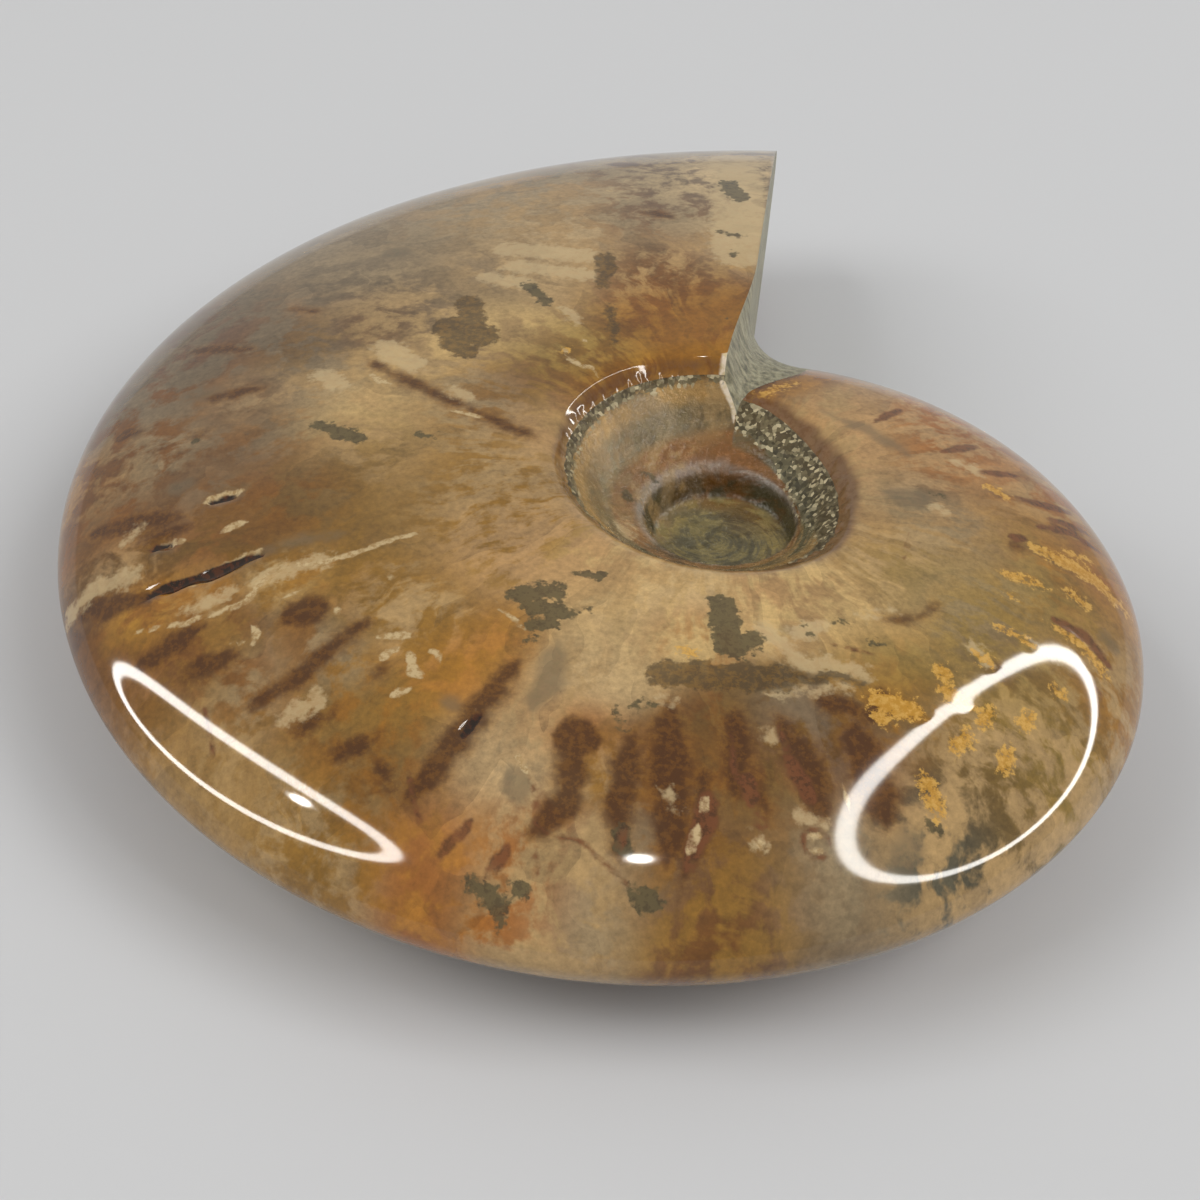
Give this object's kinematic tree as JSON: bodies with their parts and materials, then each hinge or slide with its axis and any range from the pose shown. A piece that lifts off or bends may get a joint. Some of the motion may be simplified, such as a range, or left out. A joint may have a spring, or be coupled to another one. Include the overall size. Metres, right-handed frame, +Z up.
{
  "type": "fossil ammonite",
  "caption": "Flat coiled fossil shell, cut and polished, lying on its side, with a stepped umbilicus and an open notch where the outer whorl ends.",
  "frame": {"origin": "on the surface it rests on, under the middle of its outline seen from above", "axes": "+Z up through the thickness, +Y across the coil towards the aperture's outer edge, the longest way"},
  "size_m": [0.0778, 0.0994, 0.0205],
  "materials": {
    "polished_stone": "polished calcite and shell, glossy"
  },
  "bodies": {
    "root": {"ammonite": "polished_stone"}
  },
  "joints": []
}
